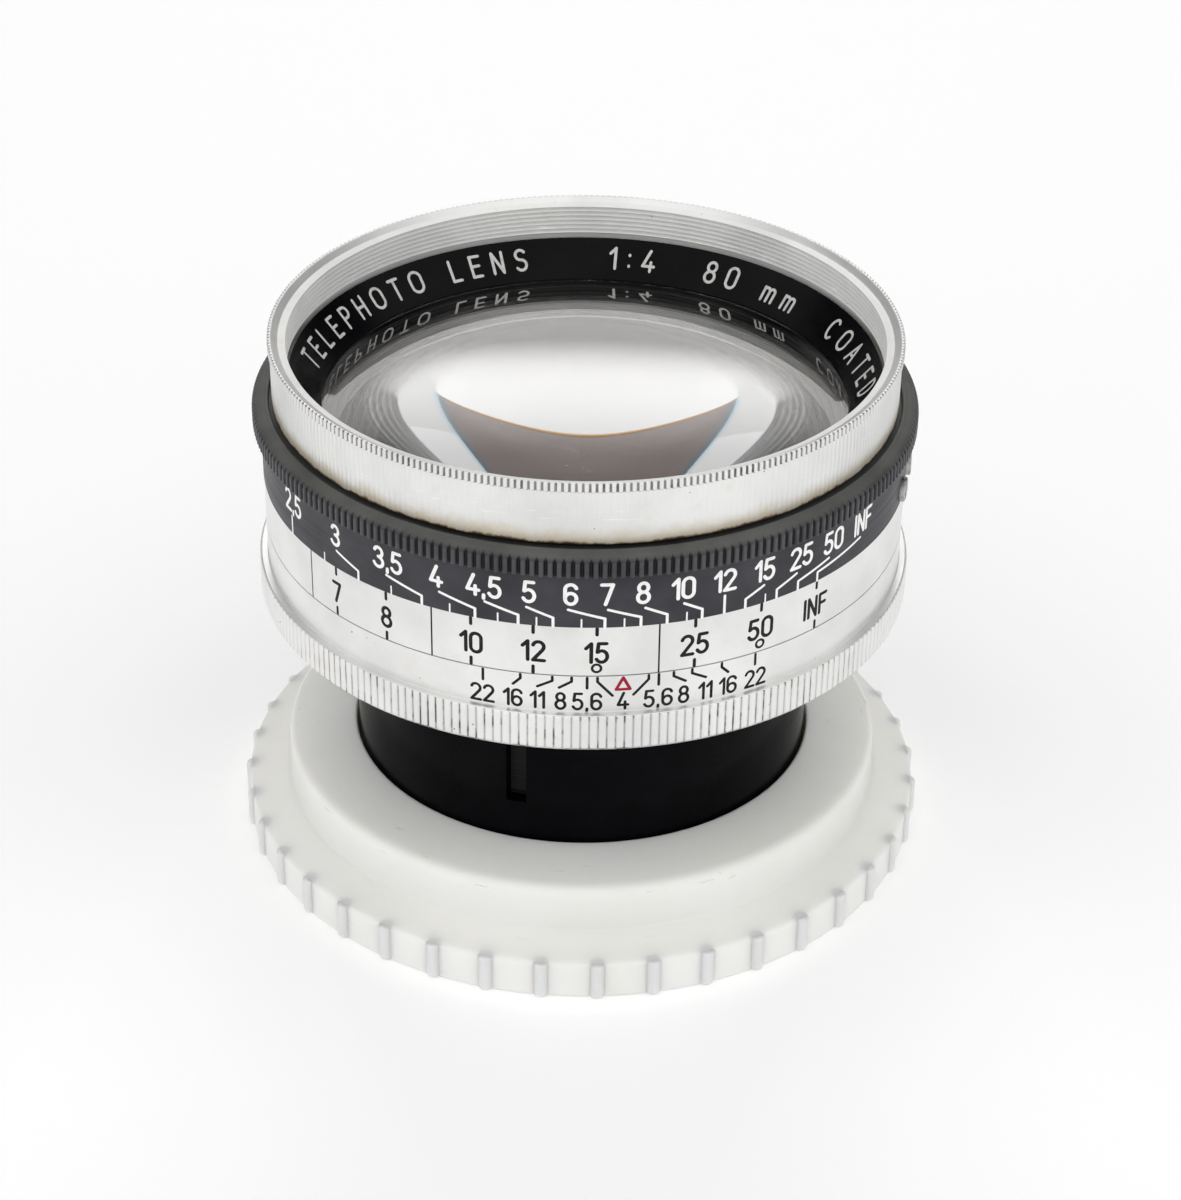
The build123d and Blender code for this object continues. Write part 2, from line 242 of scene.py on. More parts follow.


# Satin black anodising, with dust in its grain and pale specks on the knurl. Painted highlight on the knurl
# crests and the top face, and painted shade in the knurl grooves
def satinBlack(name, speckShare=0.06):
    t = newMaterial(name)
    grain = t.noise(t.unrolled(1.2, 7000, 7000), 1.0, 2.0)
    cloud = t.noise(t.place, 160.0, 4.0)
    colour = t.blend(t.remap(cloud, 0.3, 0.75), blackLook["body"], blackLook["worn"])
    dust = t.remap(t.cells(t.place, 900.0), speckShare, speckShare * 0.4)
    dust = t.math("MULTIPLY", dust, t.remap(t.noise(t.place, 300.0, 2.0), 0.62, 0.68))
    colour = t.blend(t.math("MULTIPLY", dust, 0.7), colour, blackLook["dust"])
    rough = t.remap(grain, 0.3, 0.7, *blackLook["roughness"])
    # Lighter knurl crests: painted highlight
    crest = t.remap(t.across, 0.03322, 0.03330)
    crest = t.math("MULTIPLY", crest, t.between(t.z, 0.0470, 0.0490, 0.00004))
    crest = t.math("MULTIPLY", crest, t.remap(cloud, 0.3, 0.6, 0.3, 0.9))
    colour = t.blend(crest, colour, blackLook["crest"])
    # Knurl grooves painted near black: painted shade
    colour = t.blend(grooveDirt(t, scaleGrip), colour, blackLook["groove"])
    # Top face painted lighter: painted highlight of the light from above
    paintedTopLight = t.math("MULTIPLY", t.remap(t.z, 0.0487, 0.0491), t.remap(cloud, 0.3, 0.7, 0.55, 0.9))
    colour = t.blend(paintedTopLight, colour, blackLook["paintedTopLight"])
    normal = t.bump(grain, 0.12, 0.00003)
    return t.give(baseColor=colour, roughness=rough, normal=normal, specularIORLevel=0.28)


# Gloss black enamel on the rear barrel and the name ring
def glossBlack(name, shine, level):
    t = newMaterial(name)
    wipe = t.noise(t.place, 120.0, 4.0)
    haze = t.noise(t.unrolled(3.0, 1200), 1.0, 4.0)
    colour = t.blend(t.remap(wipe, 0.4, 0.8), (0.0015, 0.0015, 0.0022), (0.004, 0.004, 0.005))
    rough = t.remap(haze, 0.35, 0.75, shine, shine + 0.12)
    normal = t.bump(wipe, 0.05, 0.00005)
    return t.give(baseColor=colour, roughness=rough, normal=normal, specularIORLevel=level)


# Matt black of the inner tube, cells and retaining rings, with machining lines
def mattBlack(name):
    t = newMaterial(name)
    lines = t.noise(t.unrolled(0.8, 5200, 5200), 1.0, 2.0)
    colour = t.blend(t.remap(lines, 0.3, 0.7), (0.006, 0.006, 0.006), (0.016, 0.016, 0.017))
    rough = t.remap(lines, 0.3, 0.7, 0.5, 0.7)
    normal = t.bump(lines, 0.2, 0.00005)
    return t.give(baseColor=colour, roughness=rough, normal=normal, specularIORLevel=0.12)


# Grey metal of the light trap, brighter on the crests of its steps: painted highlight, with painted shade
# between them
def baffleGrey(name):
    t = newMaterial(name)
    lines = t.noise(t.unrolled(0.8, 4200, 4200), 1.0, 2.0)
    colour = t.blend(t.remap(lines, 0.3, 0.7), (0.10, 0.095, 0.09), (0.17, 0.165, 0.16))
    # Painted highlight and painted shade: bands lighter and darker across each step, and near black below
    # the steps
    stepShading = t.math("FRACT", t.math("MULTIPLY", t.across, 1379.3))  # steps to a metre of radius
    stepShading = t.remap(stepShading, 0.2, 0.9, 0.25, 1.0)
    pale = t.math("MULTIPLY", stepShading, t.remap(t.z, 0.0405, 0.0412))
    colour = t.blend(pale, (0.02, 0.018, 0.017), colour)
    return t.give(baseColor=colour, roughness=0.42, metallic=0.3, normal=t.bump(lines, 0.2, 0.00005))


plasticLook = {"ivory": (0.865, 0.86, 0.828), "aged": (0.83, 0.83, 0.79), "dirt": (0.45, 0.42, 0.37),
               "depth": 0.004, "rubHeight": 0.0092}


# Old moulded white plastic: it lets a little light in, and holds scuffs and specks near its edges
def whitePlastic(name):
    t = newMaterial(name)
    cloud = t.noise(t.place, 55.0, 3.0)
    fine = t.noise(t.place, 900.0, 4.0, 0.6)
    scuffs = t.noise(t.unrolled(5.0, 1500, 900), 1.0, 5.0, 0.75, 0.4)
    colour = t.blend(t.remap(cloud, 0.35, 0.7), plasticLook["ivory"], plasticLook["aged"])
    rubbed = t.remap(t.math("ABSOLUTE", t.math("SUBTRACT", t.z, plasticLook["rubHeight"])), 0.0012, 0.0002)
    rubbed = t.math("ADD", t.math("MULTIPLY", rubbed, 0.65), 0.10)
    marks = t.math("MULTIPLY", t.remap(scuffs, 0.62, 0.70), rubbed)
    colour = t.blend(marks, colour, plasticLook["dirt"])
    specks = t.remap(t.cells(t.place, 420.0), 0.055, 0.02)
    specks = t.math("MULTIPLY", specks, t.remap(t.noise(t.place, 130.0, 2.0), 0.58, 0.66))
    colour = t.blend(t.math("MULTIPLY", specks, 0.5), colour, plasticLook["dirt"])
    height = t.math("ADD", t.math("MULTIPLY", fine, 0.5), t.math("MULTIPLY", scuffs, 0.5))
    t.give(subsurfaceWeight=0.35, subsurfaceScale=plasticLook["depth"], subsurfaceRadius=(1.0, 0.9, 0.7))
    rough = t.remap(fine, 0.3, 0.7, 0.34, 0.46)
    return t.give(baseColor=colour, roughness=rough, normal=t.bump(height, 0.12, 0.00006))


# Polished optical glass with a light single coating
def opticalGlass(name, tint, index, coat=0.0):
    t = newMaterial(name)
    sleek = t.noise(t.place, 700.0, 3.0)
    rough = t.remap(sleek, 0.5, 0.9, 0.0, 0.012)
    t.give(coatWeight=coat, coatIOR=2.3, coatRoughness=0.01)
    return t.give(baseColor=(*tint, 1), roughness=rough, transmissionWeight=1.0, IOR=index)


# Paint rubbed into the engraving: slightly uneven, dull
def engravingPaint(name, colour, worn, rough=0.55):
    t = newMaterial(name)
    patch = t.noise(t.place, 1500.0, 3.0)
    paint = t.blend(t.remap(patch, 0.45, 0.8), colour, worn)
    return t.give(baseColor=paint, roughness=rough, specularIORLevel=0.2)


# Plated and bare metals of the small parts
def smallMetal(name, colour, dull, rough):
    t = newMaterial(name)
    cloud = t.noise(t.place, 1200.0, 4.0)
    finish = t.blend(t.remap(cloud, 0.35, 0.75), colour, dull)
    return t.give(baseColor=finish, metallic=1.0, roughness=t.remap(cloud, 0.3, 0.7, rough, rough + 0.15))


finishes = {
    "front": satinSilver("silverFront", lipGrip, 0.7, grimeHeight=0.04955, scratchHeight=0.0526),
    "band": satinSilver("silverBand"),
    "depth": satinSilver("silverDepth", depthGrip, 0.25, pitShare=0.13),
    "scale": satinBlack("blackScale"),
    "barrel": glossBlack("blackBarrel", 0.12, 0.035),
    "name": glossBlack("blackName", 0.20, 0.08),
    "inner": mattBlack("blackInner"),
    "baffle": baffleGrey("greyBaffle"),
    "plastic": whitePlastic("ivoryPlastic"),
    "frontGlass": opticalGlass("glassFront", (0.82, 0.80, 0.785), 1.40, 1.0),
    "innerGlass": opticalGlass("glassInner", (0.70, 0.63, 0.63), 1.32),
    "whitePaint": engravingPaint("paintWhite", (0.93, 0.93, 0.92), (0.84, 0.84, 0.82)),
    "blackPaint": engravingPaint("paintBlack", (0.008, 0.008, 0.009), (0.02, 0.02, 0.02)),
    "redPaint": engravingPaint("paintRed", (0.36, 0.010, 0.030), (0.26, 0.010, 0.03)),
    "greyPaint": engravingPaint("paintGrey", (0.62, 0.62, 0.60), (0.42, 0.42, 0.41)),
    "nickel": smallMetal("nickelScrew", (0.42, 0.41, 0.40), (0.20, 0.195, 0.19), 0.22),
    "steel": smallMetal("steelMount", (0.62, 0.62, 0.63), (0.48, 0.48, 0.48), 0.30),
    "brass": smallMetal("brassWasher", (0.74, 0.56, 0.27), (0.55, 0.40, 0.20), 0.30),
}
print("stage: finishes,", len(finishes))


# Shapes. Outlines are (radius, height, rounding) corners in millimetres

def heights(node):
    low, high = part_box(node)
    return low.z / mm, high.z / mm


def rounded(corners, steps=3, closed=True):
    points = []
    last = len(corners) - 1
    for i, (r, z, rounding) in enumerate(corners):
        if rounding == 0 or (not closed and i in (0, last)):
            points.append((r, z))
            continue
        here = Vector((r, z))
        before = Vector(corners[i - 1][:2]) - here
        after = Vector(corners[(i + 1) % len(corners)][:2]) - here
        size = min(rounding, before.length * 0.45, after.length * 0.45)
        start, end = here + before.normalized() * size, here + after.normalized() * size
        if before.length > size * 2.6:
            points.append(tuple(here + before.normalized() * size * 1.6))
        for k in range(steps + 1):
            s = k / steps
            points.append(tuple(start * (1 - s) ** 2 + here * 2 * s * (1 - s) + end * s ** 2))
        if after.length > size * 2.6:
            points.append(tuple(here + after.normalized() * size * 1.6))
    return points


# Copies a shape round the axis, which is much lighter than spinning all of it
def copiedRound(bm, count):
    bmesh.ops.spin(bm, geom=bm.verts[:] + bm.edges[:] + bm.faces[:], cent=(0, 0, 0), axis=(0, 0, 1),
                   angle=math.tau * (count - 1) / count, steps=count - 1, use_duplicate=True)


# Spins an outline round the axis, in sectors that are copied round
def turned(points, sectors=18, perSector=20, closed=True):
    bm = bmesh.new()
    verts = [bm.verts.new((0, -r * mm, z * mm)) for r, z in points]
    edges = [bm.edges.new((a, b)) for a, b in zip(verts, verts[1:])]
    if closed:
        edges.append(bm.edges.new((verts[-1], verts[0])))
    bmesh.ops.spin(bm, geom=verts + edges, cent=(0, 0, 0), axis=(0, 0, 1),
                   angle=math.tau / sectors, steps=perSector)
    copiedRound(bm, sectors)
    bmesh.ops.remove_doubles(bm, verts=bm.verts, dist=0.000001)
    bmesh.ops.recalc_face_normals(bm, faces=bm.faces)
    return bm


# A closed length of ring: its outline spun through part of a turn
def arcBlock(points, start, sweep, steps):
    bm = bmesh.new()
    verts = [bm.verts.new((0, -r * mm, z * mm)) for r, z in points]
    face = bm.faces.new(verts)
    bmesh.ops.rotate(bm, verts=verts, cent=(0, 0, 0), matrix=Matrix.Rotation(math.radians(start), 3, "Z"))
    bmesh.ops.spin(bm, geom=[face], cent=(0, 0, 0), axis=(0, 0, 1), angle=math.radians(sweep), steps=steps)
    bmesh.ops.recalc_face_normals(bm, faces=bm.faces)
    return bm


def finishPiece(name, bm, finish, body, replaced=(), sharpAngle=38):
    for face in bm.faces:
        face.smooth = True
    for edge in bm.edges:
        edge.smooth = len(edge.link_faces) != 2 or edge.calc_face_angle(0) < math.radians(sharpAngle)
    mesh = bpy.data.meshes.new(name)
    bm.to_mesh(mesh)
    bm.free()
    piece = bpy.data.objects.new(name, mesh)
    scene.collection.objects.link(piece)
    piece.data.materials.append(finishes[finish])
    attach(piece, body)
    if replaced:
        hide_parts(*replaced)
    print("piece:", name, len(mesh.polygons), "faces")
    return piece


def addInto(bm, extra):
    mesh = bpy.data.meshes.new("joining")
    extra.to_mesh(mesh)
    extra.free()
    bm.from_mesh(mesh)
    bpy.data.meshes.remove(mesh)


# Grooves pressed into an edge by a knurling wheel. The shape gives the tooth's height, 0 to 1,
# at a distance from the groove's middle, 0 to 0.5 of the pitch
def knurl(bm, grip, shape):
    low, high = grip["low"] * mm, grip["high"] * mm
    root, tip = grip["root"] * mm, grip["tip"] * mm
    for vert in bm.verts:
        radius = math.hypot(vert.co.x, vert.co.y)
        if radius > root and low < vert.co.z < high:
            turns = math.atan2(vert.co.x, -vert.co.y) / math.tau * grip["teeth"]
            away = abs(turns - round(turns))
            limit = root + (tip - root) * shape(away)
            if radius > limit:
                vert.co.x *= limit / radius
                vert.co.y *= limit / radius


def veeGroove(width):
    return lambda away: min(1.0, away / (width / 2))


def roundTooth(away):
    return 1 - (1 - 2 * away) ** 5


# Storage base

baseShape = {"flange": 35.7, "ribReach": 36.15, "disc": 31.2, "bore": 24.02, "ribs": 40, "firstRib": 3.2,
             "ribHalf": 0.8, "flangeTop": 4.1, "floor": 1.6, "lugBottom": 5.6, "lugTop": 6.95,
             "lugInner": 22.37, "grooveInner": 26.2, "grooveOuter": 29.4, "grooveTop": 8.0}


def makeStorageBase():
    s = baseShape
    foot, top = heights("storage_base")
    recess = foot + 0.5
    bm = turned(rounded([
        (0, recess, 0), (s["grooveInner"], recess, 0.3), (s["grooveInner"], s["grooveTop"], 0.4),
        (s["grooveOuter"], s["grooveTop"], 0.4), (s["grooveOuter"], recess, 0.3),
        (s["disc"], recess, 0.2), (s["disc"], foot, 0.2), (s["flange"], foot, 0.35),
        (s["flange"], s["flangeTop"], 0.5), (s["disc"] + 0.1, 4.98, 0.35), (s["disc"], 9.75, 1.0),
        (28.8, 9.98, 1.4), (s["bore"], top, 0.3), (s["bore"], s["floor"], 0.3), (0, s["floor"], 0),
    ], 4, False), closed=False)
    rib = bmesh.new()
    half = s["ribHalf"] * mm
    tall = (s["flangeTop"] - 0.1) * mm
    bmesh.ops.create_cone(rib, cap_ends=True, segments=20, radius1=half, radius2=half, depth=tall)
    rims = [e for e in rib.edges if abs(e.verts[0].co.z - e.verts[1].co.z) < 0.00001]
    bmesh.ops.bevel(rib, geom=rims, offset=0.28 * mm, segments=3, profile=0.5, affect="EDGES", material=-1)
    reach = s["ribReach"] - s["ribHalf"]
    bmesh.ops.translate(rib, verts=rib.verts, vec=(0, -reach * mm, (s["flangeTop"] * 0.5 + 0.02) * mm))
    turn = Matrix.Rotation(math.radians(s["firstRib"]), 3, "Z")
    bmesh.ops.rotate(rib, verts=rib.verts, cent=(0, 0, 0), matrix=turn)
    copiedRound(rib, s["ribs"])
    addInto(bm, rib)
    inner, outer = s["lugInner"], s["bore"] + 0.4
    low, high = s["floor"] - 0.1, s["lugBottom"] + 0.1
    lug = [(inner, s["lugBottom"]), (outer, s["lugBottom"]), (outer, s["lugTop"]), (inner, s["lugTop"])]
    stop = [(inner, low), (outer, low), (outer, high), (inner, high)]
    for middle in (60, 180, 300):
        addInto(bm, arcBlock(lug, middle - 21, 42, 20))
        addInto(bm, arcBlock(stop, middle + 21.5, 4, 4))
    finishPiece("storageBase", bm, "plastic", "base", ["storage_base"])


makeStorageBase()


# Rear barrel with its key slot

barrelShape = {"outside": 23.77, "inside": 22.40, "lip": 19.6, "lipThick": 1.2,
               "slotFrom": -18, "slotTo": -13, "slotLow": 14.5, "slotHigh": 23.0}


def makeRearBarrel():
    s = barrelShape
    foot, top = heights("rear_barrel")
    outside, inside, lipTop = s["outside"], s["inside"], foot + s["lipThick"]
    bm = turned([
        (s["lip"], foot), (outside - 0.15, foot), (outside, foot + 0.15), (outside, foot + 0.3),
        (outside, s["slotLow"]), (outside, s["slotHigh"]), (outside, top), (inside, top),
        (inside, s["slotHigh"]), (inside, s["slotLow"]), (inside, lipTop), (s["lip"], lipTop),
    ])
    cut = []
    for face in bm.faces:
        middle = face.calc_center_median()
        azimuth = math.degrees(math.atan2(middle.x, -middle.y))
        level = middle.z / mm
        if s["slotFrom"] < azimuth < s["slotTo"] and s["slotLow"] < level < s["slotHigh"]:
            cut.append(face)
    bmesh.ops.delete(bm, geom=cut, context="FACES")
    rim = [edge for edge in bm.edges if edge.is_boundary]
    bmesh.ops.bridge_loops(bm, edges=rim)
    bmesh.ops.recalc_face_normals(bm, faces=bm.faces)
    finishPiece("rearBarrel", bm, "barrel", "lens_barrel", ["rear_barrel"])


makeRearBarrel()


# Fixed ring with the lower grip and the depth marks

depthShape = {"band": 32.45, "inside": 31.0, "counterbore": 31.55, "bore": 22.4, "shoulder": 29.2,
              "washerSeat": 35.2}


def makeDepthRing():
    s, g = depthShape, depthGrip
    foot, top = heights("depth_scale_ring")
    bm = turned(rounded([
        (s["bore"], foot, 0.1), (32.95, foot, 0.08), (g["tip"], 28.45, 0.12), (g["tip"], 31.75, 0.14),
        (33.1, 31.93, 0.05), (s["band"], 31.95, 0.06), (s["band"], top, 0.08),
        (s["counterbore"], top, 0.05), (s["counterbore"], s["washerSeat"], 0),
        (s["inside"], s["washerSeat"], 0.05), (s["inside"], s["shoulder"], 0),
        (s["bore"], s["shoulder"], 0.1),
    ]), 25, 60)
    knurl(bm, g, roundTooth)
    finishPiece("depthRing", bm, "depth", "lens_barrel", ["depth_scale_ring"])


makeDepthRing()


# Turning ring: the silver band pressed on the black ring's sleeve

bandShape = {"outside": 32.45, "inside": 31.45}


def makeScaleBand():
    s = bandShape
    foot, top = heights("scale_band")
    bm = turned(rounded([
        (s["inside"], foot, 0.05), (s["outside"], foot, 0.08),
        (s["outside"], top, 0.06), (s["inside"], top, 0.05),
    ]))
    finishPiece("scaleBand", bm, "band", "turning_scale", ["scale_band"])


makeScaleBand()

scaleShape = {"sleeve": 31.4, "body": 32.5, "bore": 30.47, "seam": 41.35, "step": 46.85, "lip": 31.6}


def makeScaleRing():
    s, g = scaleShape, scaleGrip
    foot, top = heights("scale_ring")
    bm = turned(rounded([
        (s["bore"], foot, 0), (s["sleeve"], foot, 0), (s["sleeve"], s["seam"], 0),
        (s["body"], s["seam"], 0.06), (s["body"], s["step"], 0.06),
        (g["root"] + 0.02, s["step"] + 0.22, 0.06), (g["tip"], s["step"] + 0.32, 0.08),
        (g["tip"], 48.62, 0.10), (33.15, 48.95, 0.10), (32.72, 49.20, 0.12), (s["lip"] + 0.15, top, 0.1),
        (s["lip"], 49.3, 0.05), (s["lip"], 49.0, 0), (s["bore"], 49.0, 0),
    ]), 25, 60)
    knurl(bm, g, veeGroove(0.52))
    finishPiece("scaleRing", bm, "scale", "turning_scale", ["scale_ring"])


makeScaleRing()

screwShape = {"azimuths": (75.3, 84.8), "height": 42.65, "head": 1.25, "seat": 32.2, "reach": 32.95,
              "slot": 0.36, "slotDeep": 0.42, "edge": 0.14}


def makeRingScrews():
    s = screwShape
    bm = bmesh.new()
    radius, tall = s["head"] * mm, s["reach"] - s["seat"]
    for azimuth in s["azimuths"]:
        head = bmesh.new()
        bmesh.ops.create_cone(head, cap_ends=True, segments=32, radius1=radius, radius2=radius,
                              depth=tall * mm)
        rim = [e for e in head.edges if e.verts[0].co.z > 0 and e.verts[1].co.z > 0]
        bmesh.ops.bevel(head, geom=rim, offset=s["edge"] * mm, segments=3, profile=0.5,
                        affect="EDGES", material=-1)
        for side in (1, -1):
            plane = (side * s["slot"] / 2 * mm, 0, 0)
            whole = head.verts[:] + head.edges[:] + head.faces[:]
            bmesh.ops.bisect_plane(head, geom=whole, plane_co=plane, plane_no=(1, 0, 0))
        nearMiddle = s["slot"] * 0.45 * mm
        strip = [f for f in head.faces
                 if f.normal.z > 0.9 and abs(f.calc_center_median().x) < nearMiddle]
        bottom = bmesh.ops.extrude_face_region(head, geom=strip)
        sunk = [v for v in bottom["geom"] if isinstance(v, bmesh.types.BMVert)]
        bmesh.ops.delete(head, geom=strip, context="FACES")
        bmesh.ops.translate(head, verts=sunk, vec=(0, 0, -s["slotDeep"] * mm))
        bmesh.ops.translate(head, verts=head.verts, vec=(0, 0, (s["seat"] + tall / 2) * mm))
        turn = Matrix.Rotation(math.radians(azimuth), 3, "Z")
        outward = turn @ Matrix.Rotation(math.radians(90), 3, "X")
        bmesh.ops.rotate(head, verts=head.verts, cent=(0, 0, 0), matrix=outward)
        bmesh.ops.translate(head, verts=head.verts, vec=(0, 0, s["height"] * mm))
        addInto(bm, head)
    bmesh.ops.recalc_face_normals(bm, faces=bm.faces)
    finishPiece("ringScrews", bm, "nickel", "turning_scale", ["scale_ring_screws"])


makeRingScrews()


# Front ring: lip knurl outside, filter thread inside

frontShape = {"outside": 31.3, "foot": 49.55, "lip": 31.5, "lipFoot": 55.1, "mouth": 30.45, "crest": 29.72,
              "rootOfThread": 30.05, "turns": 6, "pitch": 0.5, "threadTop": 55.35, "relief": 30.2,
              "reliefFoot": 50.8, "seat": 49.3, "seatEdge": 28.4, "skirt": 28.95, "skirtBore": 27.55}


def makeFrontRing():
    s, g = frontShape, lipGrip
    foot, lipFoot = s["foot"], s["lipFoot"]
    skirtFoot, top = heights("front_ring")
    corners = [
        (s["skirtBore"], skirtFoot, 0), (s["skirt"], skirtFoot, 0), (s["skirt"], foot, 0),
        (s["outside"], foot, 0.10), (s["outside"], lipFoot - 0.02, 0.04), (s["lip"], lipFoot + 0.02, 0.05),
        (s["lip"], top, 0.10), (s["lip"] - 0.35, top, 0.08), (s["mouth"], s["threadTop"] + 0.15, 0.06),
    ]
    for k in range(s["turns"]):
        groove = s["threadTop"] - s["pitch"] * k
        corners += [(s["crest"], groove - 0.03, 0), (s["crest"], groove - 0.10, 0)]
        corners += [(s["rootOfThread"], groove - 0.28, 0), (s["rootOfThread"], groove - 0.34, 0)]
    lastCrest = s["threadTop"] - s["pitch"] * s["turns"] - 0.06
    corners += [
        (s["crest"], lastCrest, 0), (s["relief"], lastCrest - 0.3, 0), (s["relief"], s["reliefFoot"], 0),
        (s["seatEdge"], s["seat"], 0), (s["skirtBore"], s["seat"], 0),
    ]
    bm = turned(rounded(corners, 2), 53, 18)
    knurl(bm, g, veeGroove(0.6))
    finishPiece("frontRing", bm, "front", "lens_barrel", ["front_ring"])


makeFrontRing()

nameShape = {"outer": 29.55, "coneTop": 51.8, "edge": 26.4, "coneBottom": 48.35, "boss": 27.5,
             "seat": 49.35, "seatEdge": 28.35, "flankFoot": 50.75}


def makeNameRing():
    s = nameShape
    foot, top = heights("name_ring")
    bm = turned(rounded([
        (s["edge"], foot, 0.05), (s["boss"], foot, 0.05), (s["boss"], s["seat"], 0),
        (s["seatEdge"], s["seat"], 0), (s["outer"], s["flankFoot"], 0),
        (s["outer"], top, 0.06), (s["edge"], s["coneBottom"], 0.08),
    ]))
    finishPiece("nameRing", bm, "name", "lens_barrel", ["name_ring"])


makeNameRing()
print("stage: rings")


# Glass. A face's curve is its radius of curvature, positive where it bulges upwards

def dome(rimRadius, rimHeight, curve, steps=20):
    size = abs(curve)
    way = 1 if curve > 0 else -1
    centre = rimHeight - way * math.sqrt(size ** 2 - rimRadius ** 2)
    spread = math.asin(rimRadius / size)
    return [(size * math.sin(spread * k / steps), centre + way * size * math.cos(spread * k / steps))
            for k in range(steps + 1)]


glassShapes = {
    "frontElement": {"node": "front_element", "radius": 27.5, "bottom": 44.2, "top": 47.2, "lift": 1.0,
                     "front": (26.35, 90), "back": (26.0, 300), "finish": "frontGlass"},
    "secondElement": {"node": "second_element", "radius": 20.4, "bottom": 30.2, "top": 33.2,
                      "front": (19.1, 42), "back": (20.3, 100), "finish": "innerGlass"},
    "thirdElement": {"node": "third_element", "radius": 20.4, "bottom": 27.0, "top": 30.18,
                     "front": (20.3, 100), "back": (18.2, 60), "finish": "innerGlass"},
    "fourthElement": {"node": "fourth_element", "radius": 15.5, "bottom": 14.2, "top": 18.5,
                      "front": (14.6, -90), "back": (14.4, 60), "finish": "innerGlass"},
    "fifthElement": {"node": "fifth_element", "radius": 15.5, "bottom": 10.6, "top": 12.8,
                     "front": (14.4, 70), "back": (14.0, -80), "finish": "innerGlass"},
}


def makeGlass():
    for name, g in glassShapes.items():
        lift = g.get("lift", 0)
        front = dome(g["front"][0], g["top"] + lift, g["front"][1])
        back = dome(g["back"][0], g["bottom"], g["back"][1])
        land = [(g["front"][0], g["top"] + lift, 0)] + [(g["front"][0], g["top"], 0)] * (lift > 0)
        edge = rounded(land + [(g["radius"], g["top"], 0.1), (g["radius"], g["bottom"], 0.1),
                               (g["back"][0], g["bottom"], 0)], 2, False)
        bm = turned(front + edge[1:-1] + back[::-1], 18, 10, False)
        finishPiece(name, bm, g["finish"], "lens_barrel", [g["node"]])


makeGlass()

baffleShape = {"outside": 26.5, "topBore": 25.7, "footBore": 19.9, "coneFoot": 41.0, "steps": 8}


def makeBaffle():
    s = baffleShape
    foot, top = heights("ridged_baffle")
    points = [(s["outside"], top, 0), (s["outside"], foot, 0), (s["footBore"], foot, 0)]
    out = (s["topBore"] - s["footBore"]) / s["steps"]
    up = (top - s["coneFoot"]) / s["steps"]
    for k in range(s["steps"]):
        ledge = s["coneFoot"] + up * (k or 0.4)
        points += [(s["footBore"] + out * k, ledge, 0.06), (s["footBore"] + out * (k + 1), ledge, 0.06)]
    bm = turned(rounded(points), 16, 15)
    finishPiece("ridgedBaffle", bm, "baffle", "lens_barrel", ["ridged_baffle"])


makeBaffle()
print("stage: glass and baffle")


# Engraved figures, each drawn the way an engraver's cutter runs, in a box one unit tall

def bow(cx, cy, rx, ry, fromDeg, toDeg, steps=12):
    angles = [math.radians(fromDeg + (toDeg - fromDeg) * k / steps) for k in range(steps + 1)]
    return [(cx + rx * math.cos(a), cy + ry * math.sin(a)) for a in angles]


# A closed oval of two half rounds, as tall as the box
def track(half):
    upper = bow(half, 1 - half, half, half, 0, 180)
    return upper + bow(half, half, half, half, 180, 360) + [(2 * half, 1 - half)]


